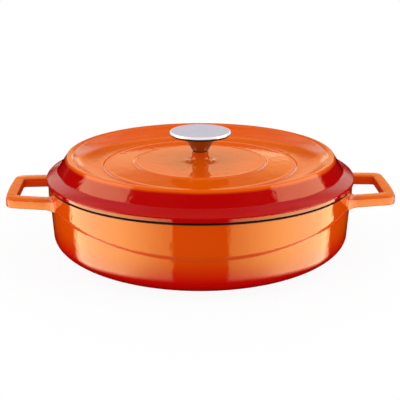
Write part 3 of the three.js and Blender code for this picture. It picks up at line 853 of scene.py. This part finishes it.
satin_steel, start = new_finish("satin_steel")
place = place_of(start)
height = place.axis("Z")
radius = distance_from_axis(place)
inside_bevel = radius.between(KNOB_RADIUS - FROST_EDGE_START, KNOB_RADIUS - FROST_EDGE_FULL)
at_top = height.between(disc_top - FROST_DEPTH_START, disc_top - FROST_DEPTH_FULL)
# Painted shade under the rim: the colour turns dark below the bevel.
rim_underside_shade = height.between(disc_top - RIM_SHADE_DEPTH_START, disc_top - RIM_SHADE_DEPTH_FULL)
face = inside_bevel * at_top
frost = place.noise(scale=1100.0, detail=2.0, roughness=0.7).ramp(0.36, 0.64)
smudge = place.noise(scale=70.0, detail=3.0)
# Blasted frost in random tones, with a blue tint that is a painted reflection.
frost_and_sheen = (frost * 0.7 + smudge * 0.2).mix(FROST_AND_SHEEN_STEEL, FROST_AND_SHEEN_STEEL_DEEP)
# The bevel's near white is a painted highlight, and the dark under it is painted shade.
steel = face.mix(rim_underside_shade.mix(BEVEL_PAINTED_HIGHLIGHT, UNDER_RIM_PAINTED_SHADE), frost_and_sheen)
relief = (frost * face).bump(strength=0.25, distance=0.00003)
metal(start, steel, 0.20 + face * 0.05 + rim_underside_shade * 0.60, 0.16 + face * 0.19 + smudge * 0.05, relief)
knob_disc.data.materials.append(satin_steel)
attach(knob_disc, "lid")
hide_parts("knob_disc")

# Screw: a zinc-plated machine screw with a domed head and a cross recess, put in from under the lid.
# It pulls the stem down on the boss, with a flat and a split washer under its head.
SCREW_RADIUS = 3.0
SCREW_HEAD_RADIUS = 6.0
SCREW_HEAD_HEIGHT = 3.8
SCREW_SEGMENTS = 96
SCREW_STEPS = 6
SCREW_POLE_RADIUS = 0.1
HEAD_DOME = 2.2
HEAD_FACE_DEPTH = 0.5
HEAD_RINGS = (1.2, 2.4, 3.4)
HEAD_RING_EASE = 0.1
DRIVE_WIDTH = 1.4
DRIVE_DEPTH = 2.0
DRIVE_HALF_SHARE = 0.35
DRIVE_FLANK_SHARE = 0.3
DRIVE_REACH_SHARE = 0.30
DRIVE_SLOPE_SHARE = 0.34
THREAD_PITCH = 1.0
THREAD_DEPTH = 0.35
THREAD_START = 0.2
THREAD_STEPS = 90
TIP_CHAMFER = 0.6
FLAT_WASHER_THICKNESS = 1.2
LOCK_WASHER_THICKNESS = 1.6
ZINC = (0.46, 0.46, 0.45, 1.0)
ZINC_STAIN = (0.30, 0.29, 0.27, 1.0)

flat_top = pad_foot - CONTACT_GAP
flat_foot = flat_top - FLAT_WASHER_THICKNESS
lock_top = flat_foot - CONTACT_GAP
lock_foot = lock_top - LOCK_WASHER_THICKNESS
head_top = lock_foot - CONTACT_GAP
head_foot = head_top - SCREW_HEAD_HEIGHT
screw_end = stem_foot + SCREW_GRIP


def cross_recess(grid):
    """How far the head is sunk at each point: a cross of two slots whose flanks and ends slope down to their
    bottom."""
    slot = np.minimum(np.abs(grid[..., 0]), np.abs(grid[..., 1]))
    reach = np.hypot(grid[..., 0], grid[..., 1])
    flank = (slot - DRIVE_HALF_SHARE * DRIVE_WIDTH) / (DRIVE_FLANK_SHARE * DRIVE_WIDTH)
    slope = (reach - DRIVE_REACH_SHARE * SCREW_HEAD_RADIUS) / (DRIVE_SLOPE_SHARE * SCREW_HEAD_RADIUS)
    return DRIVE_DEPTH * (1.0 - smooth(flank)) * (1.0 - smooth(slope))


head_face = [(ring, head_foot, HEAD_RING_EASE, HEAD_RING_EASE) for ring in HEAD_RINGS]
head_profile = eased([
    (SCREW_POLE_RADIUS, head_foot, 0.0, 0.0),
    *head_face,
    (SCREW_HEAD_RADIUS, head_foot, HEAD_DOME, HEAD_DOME),
    (SCREW_HEAD_RADIUS, head_top, 0.2, 0.2),
    (SCREW_RADIUS, head_top, 0.2, 0.2),
    (SCREW_RADIUS, pad_foot, 0.0, 0.0),
], SCREW_STEPS)
thread_height = np.linspace(pad_foot + THREAD_START, screw_end - TIP_CHAMFER, THREAD_STEPS)
thread_profile = np.stack([np.full(THREAD_STEPS, SCREW_RADIUS), thread_height], axis=-1)
tip_profile = np.array([(SCREW_RADIUS - TIP_CHAMFER, screw_end), (SCREW_POLE_RADIUS, screw_end)])
head_grid = turned(head_profile, SCREW_SEGMENTS)
head_grid[..., 2] += cross_recess(head_grid) * (head_grid[..., 2] < head_foot + HEAD_FACE_DEPTH)
thread_grid = turned(thread_profile, SCREW_SEGMENTS)
thread_turn = np.linspace(0.0, 1.0, SCREW_SEGMENTS, endpoint=False)
thread_wave = np.abs(2.0 * ((thread_grid[..., 2] / THREAD_PITCH + thread_turn) % 1.0) - 1.0)
thread_grid[..., :2] *= (1.0 - THREAD_DEPTH / SCREW_RADIUS * thread_wave)[..., None]
screw_grid = np.concatenate([head_grid, thread_grid, turned(tip_profile, SCREW_SEGMENTS)])
screw_poles = [(0.0, 0.0, head_foot + DRIVE_DEPTH), (0.0, 0.0, screw_end)]
knob_screw = skin("knob_screw_plated", screw_grid, screw_poles)

screw_steel, start = new_finish("screw_steel")
place = place_of(start)
grain = place.noise(scale=700.0, detail=3.0)
stain = place.noise(scale=160.0, detail=4.0).ramp(0.45, 0.75)
zinc = (stain * 0.6).mix(ZINC, ZINC_STAIN)
metal(start, zinc, 1.0, 0.30 + grain * 0.15 + stain * 0.10, grain.bump(strength=0.3, distance=0.00004))
knob_screw.data.materials.append(screw_steel)
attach(knob_screw, "lid")
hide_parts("knob_screw")

# Flat washer: a stamped steel ring between the lid's pad and the split washer, zinc plated like the screw.
# Stamping leaves its edges slightly rounded.
FLAT_WASHER_RADIUS = 9.0
FLAT_WASHER_EDGE = 0.35
FLAT_WASHER_BORE_EDGE = 0.2
FLAT_WASHER_SEAM = (0.3, 0.5)
FLAT_WASHER_SEGMENTS = 72
FLAT_WASHER_STEPS = 5

flat_profile = eased([
    (BORE_RADIUS, flat_foot + FLAT_WASHER_SEAM[0], 0.0, 0.0),
    (BORE_RADIUS, flat_foot, FLAT_WASHER_BORE_EDGE, FLAT_WASHER_BORE_EDGE),
    (FLAT_WASHER_RADIUS, flat_foot, FLAT_WASHER_EDGE, FLAT_WASHER_EDGE),
    (FLAT_WASHER_RADIUS, flat_top, FLAT_WASHER_EDGE, FLAT_WASHER_EDGE),
    (BORE_RADIUS, flat_top, FLAT_WASHER_BORE_EDGE, FLAT_WASHER_BORE_EDGE),
    (BORE_RADIUS, flat_foot + FLAT_WASHER_SEAM[1], 0.0, 0.0),
], FLAT_WASHER_STEPS)
flat_washer = skin("flat_washer_stamped", turned(flat_profile, FLAT_WASHER_SEGMENTS), loop=True)
flat_washer.data.materials.append(screw_steel)
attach(flat_washer, "lid")
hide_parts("flat_washer")

# Split washer: a square spring wire coiled once and cut, clamped under the screw's head and zinc plated too.
# Its two ends stand slightly apart.
LOCK_WASHER_RADIUS = 5.6
LOCK_WASHER_SPLIT = 14.0
LOCK_WASHER_EDGE = 0.15
LOCK_WASHER_SEAM = (0.4, 0.6)
LOCK_WASHER_STATIONS = 64
LOCK_WASHER_STEPS = 3

half_split = 0.5 * LOCK_WASHER_SPLIT
wire_turn = np.radians(np.linspace(half_split, 360.0 - half_split, LOCK_WASHER_STATIONS))
wire_profile = eased([
    (BORE_RADIUS, lock_foot + LOCK_WASHER_SEAM[0], 0.0, 0.0),
    (BORE_RADIUS, lock_foot, LOCK_WASHER_EDGE, LOCK_WASHER_EDGE),
    (LOCK_WASHER_RADIUS, lock_foot, LOCK_WASHER_EDGE, LOCK_WASHER_EDGE),
    (LOCK_WASHER_RADIUS, lock_top, LOCK_WASHER_EDGE, LOCK_WASHER_EDGE),
    (BORE_RADIUS, lock_top, LOCK_WASHER_EDGE, LOCK_WASHER_EDGE),
    (BORE_RADIUS, lock_foot + LOCK_WASHER_SEAM[1], 0.0, 0.0),
], LOCK_WASHER_STEPS)
wire_grid = np.stack([
    np.cos(wire_turn)[:, None] * wire_profile[:, 0],
    np.sin(wire_turn)[:, None] * wire_profile[:, 0],
    np.repeat(wire_profile[None, :, 1], len(wire_turn), axis=0),
], axis=-1)
lock_washer = skin("lock_washer_coiled", wire_grid, [wire_grid[0].mean(axis=0), wire_grid[-1].mean(axis=0)])
lock_washer.data.materials.append(screw_steel)
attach(lock_washer, "lid")
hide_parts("lock_washer")

# Floor: a plain white table top with a soft glow of its own, which takes the pot's shadow and fades into the
# white round it. In glossy surfaces it shows two warm sheets left and right of the pot, with a dark gap
# between them in front. Lengths here are in metres and angles in degrees.
FLOOR_REACH = 1.2
FLOOR_WHITE = (0.80, 0.80, 0.80, 1.0)
FLOOR_GLOW = 0.4
SEEN_GLOW = 0.53
FAR_GLOW = 0.07
FAR_FLOOR = (0.22, 0.5)
SHEET_LEAN = 0.028
FAN_CENTRE = 0.072
FAN_GAP = (18.7, 22.3)
SHEET_BACK = 0.058
SHEET_SIDE = 0.176
SHEET_SLANT = 0.43
SHEET_BLUR = 0.010
SHEET_FRONT_PULL = 0.10
SHEET_NEAR_EDGE = (0.130, 0.154)
SHEET_DIM_FAN = (62.0, 34.0)
SHEET_DIM_NEAR = (0.20, 0.145)
SHEET_DIM_SHARE = 0.5
YELLOW_LIGHT = 1.6
YELLOW_GAIN = 3.9
YELLOW_FAN = (8.0, 68.0)
BLUE_LIGHT = 0.4
BLUE_GAIN = 2.2
BLUE_FAN = (8.0, 92.0)
BLUE_NEAR_GAIN = 0.8
BLUE_NEAR = (0.21, 0.15)
OUTSKIRTS = (0.372, 0.390)
OUTSKIRTS_GREEN_LOSS = 0.08
OUTSKIRTS_BLUE_GAIN = 0.45
WHITE = (1.0, 1.0, 1.0, 1.0)
DEGREES = 180.0 / math.pi

floor_mesh = bpy.data.meshes.new("floor")
floor_mesh.from_pydata([
    (-FLOOR_REACH, -FLOOR_REACH, 0.0),
    (FLOOR_REACH, -FLOOR_REACH, 0.0),
    (FLOOR_REACH, FLOOR_REACH, 0.0),
    (-FLOOR_REACH, FLOOR_REACH, 0.0),
], [], [(0, 1, 2, 3)])
floor = bpy.data.objects.new("floor", floor_mesh)
bpy.context.scene.collection.objects.link(floor)
floor_white, start = new_finish("floor_white")
place = place_of(start)
radius = distance_from_axis(place)
aside = start.math("ABSOLUTE", place.axis("X") - place.axis("Y") * SHEET_LEAN)
ahead = 0.0 - place.axis("Y")
fan = start.math("ARCTAN2", aside, ahead - FAN_CENTRE) * DEGREES
before_back = (ahead - SHEET_BACK + (aside - SHEET_SIDE) * SHEET_SLANT).ramp(-SHEET_BLUR, SHEET_BLUR)
near = radius - ahead * SHEET_FRONT_PULL
dimmed = fan.ramp(*SHEET_DIM_FAN) * near.ramp(*SHEET_DIM_NEAR) * SHEET_DIM_SHARE
sheets = fan.ramp(*FAN_GAP) * before_back * near.ramp(*SHEET_NEAR_EDGE) * (1.0 - dimmed)
outskirts = radius.ramp(*OUTSKIRTS)
yellow = YELLOW_LIGHT + fan.ramp(*YELLOW_FAN) * YELLOW_GAIN
green = yellow * (1.0 - outskirts * OUTSKIRTS_GREEN_LOSS)
blue = BLUE_LIGHT + fan.ramp(*BLUE_FAN) * BLUE_GAIN + radius.ramp(*BLUE_NEAR) * BLUE_NEAR_GAIN
blue = blue * (1.0 + outskirts * OUTSKIRTS_BLUE_GAIN)
cream = start.node("ShaderNodeCombineXYZ", {}, {"X": yellow, "Y": green, "Z": blue}, "Vector")
sheet_light = start.node("ShaderNodeVectorMath", {"operation": "SCALE"}, {0: cream, "Scale": sheets})
seen = start.node("ShaderNodeLightPath", {}, {}, "Is Camera Ray")
mirrored = start.node("ShaderNodeLightPath", {}, {}, "Is Glossy Ray")
glowing = FLOOR_GLOW + seen * (SEEN_GLOW + radius.ramp(*FAR_FLOOR) * FAR_GLOW)
paper = start.node("ShaderNodeBsdfDiffuse", {}, {"Color": FLOOR_WHITE})
glow = start.node("ShaderNodeEmission", {}, {"Color": WHITE, "Strength": 1.0})
lit = start.node("ShaderNodeMixShader", {}, {0: glowing, 1: paper, 2: glow})
warm_sheets = start.node("ShaderNodeEmission", {}, {"Color": sheet_light, "Strength": 1.0})
shown = start.node("ShaderNodeMixShader", {}, {0: mirrored, 1: lit, 2: warm_sheets})
start.node("ShaderNodeOutputMaterial", {}, {"Surface": shown})
floor_mesh.materials.append(floor_white)

# Studio: white behind everything, even soft light for the colours, and panels that only glossy surfaces see.
# A panel is given by its edges in degrees, each from where it is dark to where it is full, first round from
# the front and then up from the horizon, and by its light. It stands at the left and at the right alike.
SOFT_LIGHT = (0.54, 0.54, 0.54, 1.0)
STUDIO_DARK = 0.01
STUDIO_PANELS = {
    "softbox": (((67.5, 71.0), (119.0, 115.0)), ((15.0, 19.0), (54.0, 33.0)), (3.4, 2.5, 1.4)),
    "far_softbox": (((116.0, 126.0), (147.0, 136.0)), ((20.0, 30.0), (54.0, 38.0)), (1.1, 0.95, 0.70)),
    "window": (((138.0, 150.0), (168.0, 157.0)), ((3.0, 12.0), (50.0, 24.0)), (1.10, 1.45, 1.25)),
    "low_window": (((164.0, 168.0), (175.0, 172.0)), ((13.0, 9.0),), (1.20, 1.00, 0.80)),
    "wall_foot": (((168.0, 174.0),), ((-4.0, 0.0), (10.0, 4.0)), (0.90, 0.60, 0.25)),
    "backdrop": (((160.0, 167.0),), ((4.0, 10.0), (25.0, 14.5)), (1.15, 0.68, 0.23)),
    "backdrop_middle": (
        ((160.0, 167.0), (170.0, 176.0)), ((4.0, 10.0), (25.0, 14.5)), (0.05, 0.07, 0.15)),
    "middle_wall": (((160.0, 168.0),), ((18.0, 24.0), (40.0, 34.0)), (0.22, 0.18, 0.05)),
    "upper_wall": (((160.0, 168.0),), ((33.0, 39.0), (54.0, 43.0)), (0.60, 0.46, 0.15)),
    "upper_side": (((62.0, 95.0),), ((36.0, 52.0), (88.0, 74.0)), (0.21, 0.20, 0.16)),
    "upper_side_front": (((62.0, 95.0), (150.0, 132.0)), ((36.0, 52.0), (88.0, 74.0)), (0.21, 0.20, 0.16)),
    "lilac_side": (((134.0, 142.0), (164.0, 154.0)), ((38.0, 46.0), (68.0, 56.0)), (0.20, 0.18, 0.32)),
    "ceiling": ((), ((68.0, 82.0),), (0.16, 0.16, 0.16)),
}
LAMP_AIM_HEIGHT = 0.06

world = bpy.data.worlds.new("studio")
bpy.context.scene.world = world
world.use_nodes = True
world.node_tree.nodes.clear()
world.cycles.sampling_method = "NONE"
start = Wire(world.node_tree)
direction = start.node("ShaderNodeTexCoord", {}, {}, "Generated")
turn = start.math("ABSOLUTE", start.math("ARCTAN2", direction.axis("X"), 0.0 - direction.axis("Y"))) * DEGREES
rise = start.math("ARCSINE", direction.axis("Z")) * DEGREES
studio = start.node("ShaderNodeCombineXYZ", {}, dict.fromkeys("XYZ", STUDIO_DARK), "Vector")
for turn_edges, rise_edges, light in STUDIO_PANELS.values():
    share = 1.0
    for angle, edges in ((turn, turn_edges), (rise, rise_edges)):
        for edge in edges:
            share = share * angle.ramp(*edge)
    panel = start.node("ShaderNodeVectorMath", {"operation": "SCALE"}, {0: light, "Scale": share})
    studio = start.node("ShaderNodeVectorMath", {"operation": "ADD"}, {0: studio, 1: panel})
seen = start.node("ShaderNodeLightPath", {}, {}, "Is Camera Ray")
mirrored = start.node("ShaderNodeLightPath", {}, {}, "Is Glossy Ray")
shown = seen.mix(mirrored.mix(SOFT_LIGHT, studio), WHITE)
sky = start.node("ShaderNodeBackground", {}, {"Color": shown, "Strength": 1.0})
start.node("ShaderNodeOutputWorld", {}, {"Surface": sky})

for name, spot, size, power in (
    ("key_lamp", (-0.7, -0.7, 1.1), 0.9, 7.0),
    ("fill_lamp", (0.8, -0.5, 1.0), 0.9, 5.2),
    ("back_lamp", (0.0, 0.9, 1.0), 0.8, 4.3),
    ("left_lamp", (-1.0, -0.3, 0.25), 0.5, 3.6),
    ("right_lamp", (1.0, -0.3, 0.25), 0.5, 3.6),
):
    lamp_data = bpy.data.lights.new(name, "AREA")
    lamp_data.size = size
    lamp_data.energy = power
    lamp = bpy.data.objects.new(name, lamp_data)
    bpy.context.scene.collection.objects.link(lamp)
    lamp.location = spot
    toward = lamp.location.copy()
    toward.z -= LAMP_AIM_HEIGHT
    lamp.rotation_euler = toward.to_track_quat("Z", "Y").to_euler()
    lamp.visible_glossy = False
    lamp.visible_camera = False

# Camera: in front of the pot and a little above it, turned slightly so that the right handle lies farther
# away. Its place is in metres.
CAMERA_DISTANCE = 1.0
CAMERA_HEIGHT = 0.3546
CAMERA_TURN = math.radians(1.6)
CAMERA_TILT = math.radians(16.95)
CAMERA_AIM = math.radians(0.016)
CAMERA_LENS = 97.44
CAMERA_SENSOR = 36.0

camera_data = bpy.data.cameras.new("camera")
camera_data.lens = CAMERA_LENS
camera_data.sensor_width = CAMERA_SENSOR
camera = bpy.data.objects.new("camera", camera_data)
bpy.context.scene.collection.objects.link(camera)
camera.location = (
    -CAMERA_DISTANCE * math.sin(CAMERA_TURN),
    -CAMERA_DISTANCE * math.cos(CAMERA_TURN),
    CAMERA_HEIGHT,
)
camera.rotation_euler = (math.pi / 2.0 - CAMERA_TILT, 0.0, CAMERA_AIM - CAMERA_TURN)
bpy.context.scene.camera = camera
bpy.context.scene.view_settings.view_transform = "Standard"
